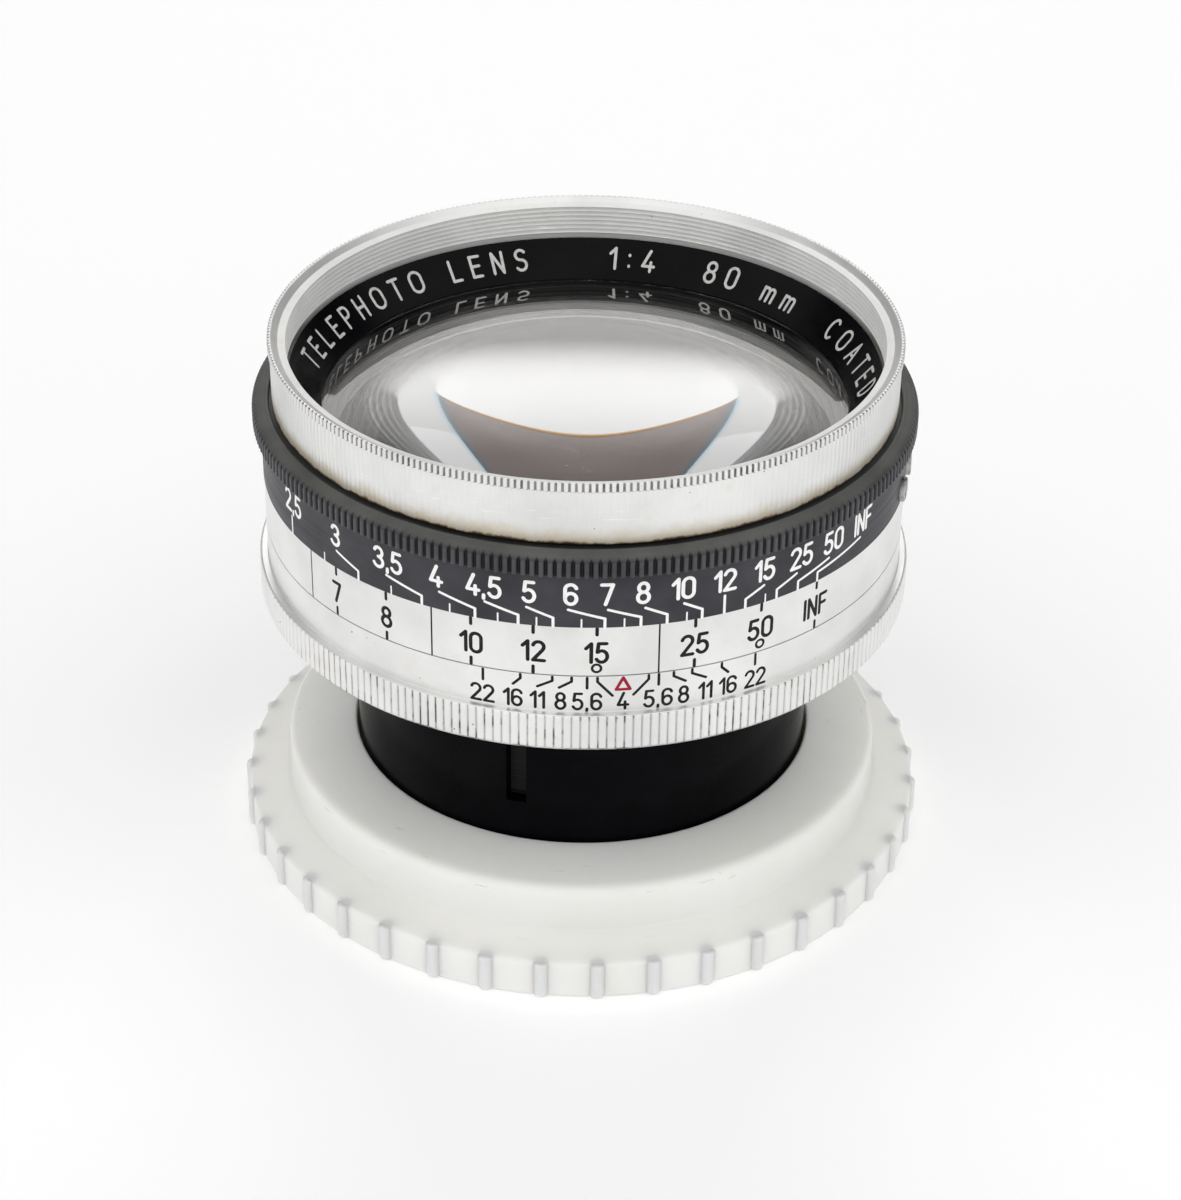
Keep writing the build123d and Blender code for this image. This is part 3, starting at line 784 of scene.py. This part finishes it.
figures = {
    "0": (0.50, [track(0.25)]),
    "1": (0.24, [[(0, 0.74), (0.24, 1), (0.24, 0)]]),
    "2": (0.50, [bow(0.25, 0.74, 0.25, 0.26, 165, -38) + [(0, 0), (0.52, 0)]]),
    "3": (0.48, [bow(0.23, 0.76, 0.22, 0.24, 160, -90), bow(0.22, 0.26, 0.26, 0.26, 90, -160)]),
    "4": (0.52, [[(0.30, 1), (0, 0.24), (0.54, 0.24)], [(0.38, 0.44), (0.38, 0)]]),
    "5": (0.50, [[(0.45, 1), (0.09, 1), (0.04, 0.54)], bow(0.23, 0.31, 0.26, 0.31, 132, -152)]),
    "6": (0.50, [bow(0.25, 0.75, 0.25, 0.25, 15, 180) + [(0, 0.27)],
                 bow(0.25, 0.28, 0.25, 0.28, 0, 360, 20)]),
    "7": (0.48, [[(0, 1), (0.49, 1), (0.17, 0)]]),
    "8": (0.50, [bow(0.25, 0.765, 0.21, 0.235, 0, 360, 18), bow(0.25, 0.27, 0.25, 0.27, 0, 360, 20)]),
    ",": (0.06, [[(0.03, 0.04), (0.02, -0.13)]]),
    ":": (0.04, [[(0.02, 0.70), (0.02, 0.69)], [(0.02, 0.16), (0.02, 0.15)]]),
    " ": (0.34, []),
    "A": (0.56, [[(0, 0), (0.28, 1), (0.56, 0)], [(0.10, 0.34), (0.46, 0.34)]]),
    "E": (0.44, [[(0.44, 1), (0, 1), (0, 0), (0.44, 0)], [(0, 0.52), (0.38, 0.52)]]),
    "F": (0.42, [[(0.42, 1), (0, 1), (0, 0)], [(0, 0.52), (0.36, 0.52)]]),
    "H": (0.50, [[(0, 0), (0, 1)], [(0.5, 0), (0.5, 1)], [(0, 0.52), (0.5, 0.52)]]),
    "I": (0.02, [[(0.01, 0), (0.01, 1)]]),
    "L": (0.42, [[(0, 1), (0, 0), (0.42, 0)]]),
    "N": (0.48, [[(0, 0), (0, 1), (0.48, 0), (0.48, 1)]]),
    "O": (0.62, [track(0.31)]),
    "P": (0.48, [[(0, 0), (0, 1)], [(0, 1)] + bow(0.24, 0.74, 0.24, 0.26, 90, -90) + [(0, 0.48)]]),
    "R": (0.50, [[(0, 0), (0, 1)], [(0, 1)] + bow(0.24, 0.74, 0.24, 0.26, 90, -90) + [(0, 0.48)],
                 [(0.24, 0.48), (0.50, 0)]]),
    "S": (0.50, [bow(0.25, 0.76, 0.23, 0.24, 35, 270), bow(0.25, 0.26, 0.25, 0.26, 90, -145)]),
    "T": (0.50, [[(0, 1), (0.5, 1)], [(0.25, 1), (0.25, 0)]]),
    "m": (0.62, [[(0, 0), (0, 0.64)], bow(0.155, 0.48, 0.155, 0.16, 180, 0) + [(0.31, 0)],
                 bow(0.465, 0.48, 0.155, 0.16, 180, 0) + [(0.62, 0)]]),
    "C": (0.52, [bow(0.27, 0.5, 0.27, 0.5, 52, 308, 16)]),
    "D": (0.50, [[(0, 0), (0, 1)], [(0, 1)] + bow(0.18, 0.5, 0.32, 0.5, 90, -90, 14) + [(0, 0)]]),
}


# Strokes of a word centred on (0, 0)
def word(text, tall, gap):
    wide = sum(figures[c][0] for c in text) + gap * (len(text) - 1)
    at = -wide / 2
    strokes = []
    for c in text:
        strokes += [[((x + at) * tall, (y - 0.5) * tall) for x, y in stroke] for stroke in figures[c][1]]
        at += figures[c][0] + gap
    return strokes


def moved(strokes, x, y):
    return [[(px + x, py + y) for px, py in stroke] for stroke in strokes]


# Cuts strokes at their corners, so that each corner is as round as the cutter
def cutAtCorners(stroke):
    runs = [[stroke[0]]]
    for a, b, c in zip(stroke, stroke[1:], stroke[2:] + [None]):
        runs[-1].append(b)
        if c:
            turn = (Vector(b) - Vector(a)).angle(Vector(c) - Vector(b), 0)
            if turn > math.radians(32):
                runs.append([b])
    return runs


# Adds points so that a long stroke can follow the curved metal
def divided(run, longest=0.4):
    points = [run[0]]
    for a, b in zip(run, run[1:]):
        span = Vector(b) - Vector(a)
        count = max(1, math.ceil(span.length / longest))
        points += [tuple(Vector(a) + span * (k + 1) / count) for k in range(count)]
    return points


paintDepth = {"proud": 0.014, "roundEnds": (30, 60, 84)}


# Paint in the engraving: a flattened bead along every stroke, laid on the metal by lay(x, y, out)
def engraved(name, groups, lay, finish, body):
    data = bpy.data.curves.new(name, "CURVE")
    data.dimensions = "3D"
    data.bevel_depth = 0.5
    data.bevel_resolution = 1
    data.use_fill_caps = True
    for strokes, wide in groups:
        for stroke in strokes:
            for run in cutAtCorners(stroke):
                points = divided(run)
                head, tail = Vector(points[0]), Vector(points[-1])
                back = (head - Vector(points[1])).normalized() * wide / 2
                onward = (tail - Vector(points[-2])).normalized() * wide / 2
                ends = [math.radians(a) for a in paintDepth["roundEnds"]]
                rows = [(*(head + back * math.sin(a)), math.cos(a)) for a in reversed(ends)]
                rows += [(x, y, 1.0) for x, y in points]
                rows += [(*(tail + onward * math.sin(a)), math.cos(a)) for a in ends]
                spline = data.splines.new("POLY")
                spline.points.add(len(rows) - 1)
                for point, (x, y, share) in zip(spline.points, rows):
                    point.co = (x, y, 0, 1)
                    point.radius = share * wide
    drawn = bpy.data.objects.new(name + "Curve", data)
    scene.collection.objects.link(drawn)
    mesh = bpy.data.meshes.new_from_object(drawn)
    bpy.data.objects.remove(drawn)
    bpy.data.curves.remove(data)
    bm = bmesh.new()
    bm.from_mesh(mesh)
    bpy.data.meshes.remove(mesh)
    widest = max(wide for strokes, wide in groups) / 2
    for vert in bm.verts:
        vert.co = lay(vert.co.x, vert.co.y, vert.co.z / widest * paintDepth["proud"])
    bmesh.ops.recalc_face_normals(bm, faces=bm.faces)
    return finishPiece(name, bm, finish, body, (), 60)


# Metal that a scale is laid on: x runs round it in millimetres from the front, y is the height
def onBand(radius):
    def lay(x, y, out):
        angle = x / radius
        return Vector((math.sin(angle), -math.cos(angle), 0)) * (radius + out) * mm + Vector((0, 0, y * mm))
    return lay


def along(azimuth, radius):
    return math.radians(azimuth) * radius


def tick(azimuth, radius, low, high):
    x = along(azimuth, radius)
    return [(x, low), (x, high)]


# Main distances in feet on the black ring: the ring turns further for near distances

mainScale = {"zero": 43.1, "spread": 222.5, "offset": 0.34, "tall": 2.1, "wide": 0.36, "labelHeight": 44.95,
             "tickTop": 42.35, "leaderTop": 43.3, "smallTop": 42.25, "leaderWide": 0.27, "smallWide": 0.16}
# distance: azimuth of its label, and of the top of its leader where it has one
mainLabels = {2.5: (-59.3, None), 3: (-46.0, -45.8), 3.5: (-34.0, -34.3), 4: (-24.6, -24.0),
              4.5: (-16.2, -16.0), 5: (-8.6, -9.0), 6: (-1.8, -2.2), 7: (4.1, 4.3), 8: (10.0, 10.4),
              10: (16.7, 16.9), 12: (24.0, None), 15: (31.5, 31.4), 25: (39.2, 38.2), 50: (46.9, 45.8),
              "INF": (55.5, 54.7)}
smallDistances = (2.75, 3.25, 3.75, 4.25, 4.75, 5.5, 6.5, 9, 20)


# Where a distance stands on a scale: at its zero for infinity, and further round for near ones
def azimuthOf(distance, scale):
    if distance == "INF":
        return scale["zero"]
    return scale["zero"] - scale["spread"] / (distance - scale["offset"])


def figuresFor(distance):
    return str(distance).replace(".", ",")


def makeMainScale():
    s = mainScale
    r = scaleShape["body"]
    seam = scaleShape["seam"] + 0.06
    labels, leaders, smalls = [], [], []
    for distance, (labelAt, leaderAt) in mainLabels.items():
        labels += moved(word(figuresFor(distance), s["tall"], 0.22), along(labelAt, r), s["labelHeight"])
        at = azimuthOf(distance, s)
        if leaderAt is None:
            leaders.append(tick(at, r, seam, s["leaderTop"]))
        else:
            x = along(at, r)
            leaders.append([(along(leaderAt, r), s["leaderTop"]), (x, s["tickTop"]), (x, seam)])
    for distance in smallDistances:
        smalls.append(tick(azimuthOf(distance, s), r, seam, s["smallTop"]))
    groups = [(labels, s["wide"]), (leaders, s["leaderWide"]), (smalls, s["smallWide"])]
    engraved("mainScaleFigures", groups, onBand(r), "whitePaint", "turning_scale")


makeMainScale()

# Second distances in feet on the silver band

bandScale = {"zero": 43.2, "spread": 596.0, "offset": 0.34, "tall": 2.05, "wide": 0.37,
             "labelHeight": 38.55, "topTick": 40.55, "lowTick": 36.85, "tickWide": 0.33,
             "lineWide": 0.17, "circle": 0.42, "circleWide": 0.26, "circleHeight": 36.85}
bandDistances = (7, 8, 10, 12, 15, 25, 50, "INF")
circledDistances = (15, 50)
bandLines = (6.5, 9, 20)


def makeBandScale():
    s = bandScale
    r = bandShape["outside"]
    foot, top = heights("scale_band")
    labels, ticks, circles, lines = [], [], [], []
    for distance in bandDistances:
        at = azimuthOf(distance, s)
        labels += moved(word(figuresFor(distance), s["tall"], 0.24), along(at, r), s["labelHeight"])
        ticks.append(tick(at, r, s["topTick"], top - 0.12))
        if distance in circledDistances:
            circles.append(bow(along(at, r), s["circleHeight"], s["circle"], s["circle"], 0, 360, 24))
        else:
            ticks.append(tick(at, r, foot + 0.14, s["lowTick"]))
    for distance in bandLines:
        lines.append(tick(azimuthOf(distance, s), r, foot + 0.07, top - 0.07))
    groups = [(labels, s["wide"]), (ticks, s["tickWide"]),
              (circles, s["circleWide"]), (lines, s["lineWide"])]
    engraved("bandScaleFigures", groups, onBand(r), "blackPaint", "turning_scale")


makeBandScale()

# Depth marks on the fixed ring: one pair for each stop, and a red index between them

depthScale = {"index": 7.0, "perStop": 1.066, "tall": 1.74, "wide": 0.29, "labelHeight": 33.12,
              "top": 35.78, "bend": 35.35, "end": 34.62, "lowEnd": 33.75, "tickWide": 0.28,
              "triangleHalf": 0.66, "triangleLow": 34.42, "triangleHigh": 35.72, "triangleWide": 0.31}
# stop: label's distance from the index, and the slanting leader's end, in degrees
depthLabels = {4: (0.0, 1.75), 5.6: (5.95, None), 8: (10.35, 10.6), 11: (14.2, 14.2),
               16: (18.35, 18.3), 22: (23.6, None)}


def makeDepthScale():
    s = depthScale
    r = depthShape["band"]
    labels, ticks = [], []
    for stop, (labelAway, leaderAway) in depthLabels.items():
        for side in (1, -1):
            if stop != 4 or side == 1:
                x = along(s["index"] + side * labelAway, r)
                labels += moved(word(figuresFor(stop), s["tall"], 0.22), x, s["labelHeight"])
            at = along(s["index"] + side * s["perStop"] * stop, r)
            if leaderAway is None:
                ticks.append([(at, s["top"]), (at, s["end"])])
            else:
                x = along(s["index"] + side * leaderAway, r)
                end = s["lowEnd"] if stop == 4 else s["end"]
                ticks.append([(at, s["top"]), (at, s["bend"]), (x, end)])
    groups = [(labels, s["wide"]), (ticks, s["tickWide"])]
    engraved("depthScaleFigures", groups, onBand(r), "blackPaint", "lens_barrel")
    x = along(s["index"], r)
    left, right = x - s["triangleHalf"], x + s["triangleHalf"]
    low = s["triangleLow"]
    triangle = [(left, low), (x, s["triangleHigh"]), (right, low), (left, low)]
    engraved("redIndex", [([triangle], s["triangleWide"])], onBand(r), "redPaint", "lens_barrel")


makeDepthScale()

# Name ring: plain words for what the part is, tops towards the rim

nameWords = {"tall": 2.25, "wide": 0.37, "gap": 0.66, "middle": 28.02, "height": 50.12,
             "words": (("TELEPHOTO LENS", 229.0), ("1:4  80 mm", 152.0), ("COATED", 101.0),
                       ("FILTER 60 mm", 40.0), ("FEET", 330.0))}


def makeNameWords():
    s = nameWords
    cone = nameShape
    slope = math.atan2(cone["coneTop"] - cone["coneBottom"], cone["outer"] - cone["edge"])

    def lay(x, y, out):
        angle = -x / s["middle"]
        radius = s["middle"] + y * math.cos(slope) - out * math.sin(slope)
        height = s["height"] + y * math.sin(slope) + out * math.cos(slope)
        return Vector((math.sin(angle) * radius, -math.cos(angle) * radius, height)) * mm

    strokes = []
    for text, azimuth in s["words"]:
        strokes += moved(word(text, s["tall"], s["gap"]), -along(azimuth, s["middle"]), 0)
    engraved("nameRingWords", [(strokes, s["wide"])], lay, "greyPaint", "lens_barrel")


makeNameWords()
print("stage: engraving")


# Parts kept as the CAD made them, with their own finishes

keptParts = {
    "lens_tube": "inner", "rear_cell": "inner", "doublet_ring": "inner", "rear_spacer": "inner",
    "rear_retaining_ring": "inner", "friction_washer": "brass", "bayonet_ring": "steel",
    "mount_screws": "steel",
}
for node, finish in keptParts.items():
    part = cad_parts[node]
    part.data.materials.clear()
    part.data.materials.append(finishes[finish])


# White table that glows a little, pale walls, and behind the lens a tall light with a dark arched
# screen standing in front of it: the front glass mirrors both. Heights are sines of elevation, and
# breadths are tangents of the azimuth away from +Y

studio = {"table": (0.90, 0.90, 0.905), "tableGlow": 0.16, "around": 1.02, "behind": 0.38, "ceiling": 1.12,
          "panel": 2.9, "wings": 2.6, "wingTip": 2.08, "screenNear": 0.85, "screenFar": 0.60,
          "beside": 0.08, "slats": 0.7}
screen = {"half": 0.292, "halfRound": 0.9, "archHalf": 0.264, "archFoot": 0.50, "archRise": 0.224,
          "lightFoot": (0.34, 0.68), "wingHalf": 0.378, "wingHeight": 0.70, "wingRound": 1.2,
          "slatPitch": 480.0, "slantLine": 0.965}


def studioWorld():
    world = bpy.data.worlds.new("studioLight")
    scene.world = world
    world.use_nodes = True
    t = Tree(world.node_tree, "Generated")
    back = t.remap(t.y, 0.20, 0.40)
    breadth = t.math("DIVIDE", t.math("ABSOLUTE", t.x), t.math("MAXIMUM", t.y, 0.05))
    risen = t.math("ADD", t.z, t.math("MULTIPLY", t.math("POWER", breadth, 2), 1.2))
    wall = t.remap(t.y, 0.2, 0.6, studio["around"], studio["behind"])
    light = t.remap(t.z, 0.50, 0.72, wall, studio["ceiling"])

    def over(share, value, below):
        return t.math("ADD", below, t.math("MULTIPLY", share, t.math("SUBTRACT", value, below)))

    lit = t.math("MULTIPLY", t.remap(risen, *screen["lightFoot"]), back)
    soft = t.remap(t.z, 0.50, 0.40, 0.003, 0.07)  # edges are crisp high up and blurred low down
    hard = t.math("MULTIPLY", soft, -1.0)
    sideways = t.math("SUBTRACT", breadth, t.math("ADD", t.math("MULTIPLY", t.z, 0.32), 0.20))
    beside = t.math("MULTIPLY", t.between(sideways, 0.0, 3.0, 0.05), t.between(t.z, 0.22, 0.92, 0.08))
    light = over(t.math("MULTIPLY", beside, back), studio["beside"], light)
    fromMiddle = t.math("POWER", t.math("SUBTRACT", t.z, screen["wingHeight"]), 2)
    wingEdge = t.math("SUBTRACT", screen["wingHalf"], t.math("MULTIPLY", fromMiddle, screen["wingRound"]))
    beyond = t.math("SUBTRACT", breadth, wingEdge)
    stripes = t.remap(t.math("SINE", t.math("MULTIPLY", beyond, screen["slatPitch"])), -0.3, 0.7)
    slats = t.math("MULTIPLY", t.math("MULTIPLY", stripes, lit), t.between(beyond, 0.006, 0.066, 0.005))
    light = over(t.math("MULTIPLY", slats, 0.8), studio["slats"], light)
    wings = t.math("MULTIPLY", t.remap(beyond, soft, hard), t.remap(t.z, 0.90, 0.86))
    wings = t.math("MULTIPLY", wings, lit)
    light = over(wings, studio["wings"], light)
    slant = t.math("SUBTRACT", t.math("ADD", t.z, breadth), screen["slantLine"])
    below = t.math("MULTIPLY", wings, t.remap(slant, 0.004, -0.004))
    light = over(below, studio["wingTip"], light)
    edge = t.math("SUBTRACT", screen["half"], t.math("MULTIPLY", fromMiddle, screen["halfRound"]))
    inside = t.remap(t.math("SUBTRACT", edge, breadth), hard, soft)
    light = over(t.math("MULTIPLY", inside, lit), studio["panel"], light)
    arch = t.math("SUBTRACT", 1.0, t.math("POWER", t.math("DIVIDE", breadth, screen["archHalf"]), 2))
    archLine = t.math("MULTIPLY", t.math("SQRT", t.math("MAXIMUM", arch, 0.0)), screen["archRise"])
    above = t.math("SUBTRACT", t.math("SUBTRACT", t.z, screen["archFoot"]), archLine)
    dark = t.math("MULTIPLY", t.math("MULTIPLY", t.remap(above, -0.003, 0.003), inside), back)
    fading = t.remap(above, 0.0, 0.12, studio["screenNear"], studio["screenFar"])
    light = over(dark, fading, light)
    colour = t.blend(dark, (1, 1, 1), (1.0, 0.84, 0.79))
    rim = t.math("MULTIPLY", t.math("MULTIPLY", t.between(above, -0.004, 0.004, 0.002), inside), back)
    colour = t.blend(rim, colour, (0.80, 0.42, 0.12))
    fringe = t.between(t.math("SUBTRACT", breadth, edge), -0.012, 0.006, 0.005)
    fringe = t.math("MULTIPLY", t.math("MULTIPLY", fringe, t.remap(above, -0.003, 0.003)), back)
    colour = t.blend(t.math("MULTIPLY", fringe, 0.8), colour, (0.60, 0.85, 1.0))
    background = t.nodes["Background"]
    t.links.new(light, background.inputs["Strength"])
    t.links.new(colour, background.inputs["Color"])


def makeStudio():
    bm = bmesh.new()
    bmesh.ops.create_grid(bm, x_segments=4, y_segments=4, size=3.0)
    mesh = bpy.data.meshes.new("studioTable")
    bm.to_mesh(mesh)
    bm.free()
    table = bpy.data.objects.new("studioTable", mesh)
    scene.collection.objects.link(table)
    t = newMaterial("tableWhite")
    t.shader.inputs["Emission Color"].default_value = (1, 1, 1, 1)
    t.shader.inputs["Emission Strength"].default_value = studio["tableGlow"]
    table.data.materials.append(t.give(baseColor=(*studio["table"], 1), roughness=0.6))
    studioWorld()


makeStudio()
scene.view_settings.view_transform = "Standard"
print("stage: studio")
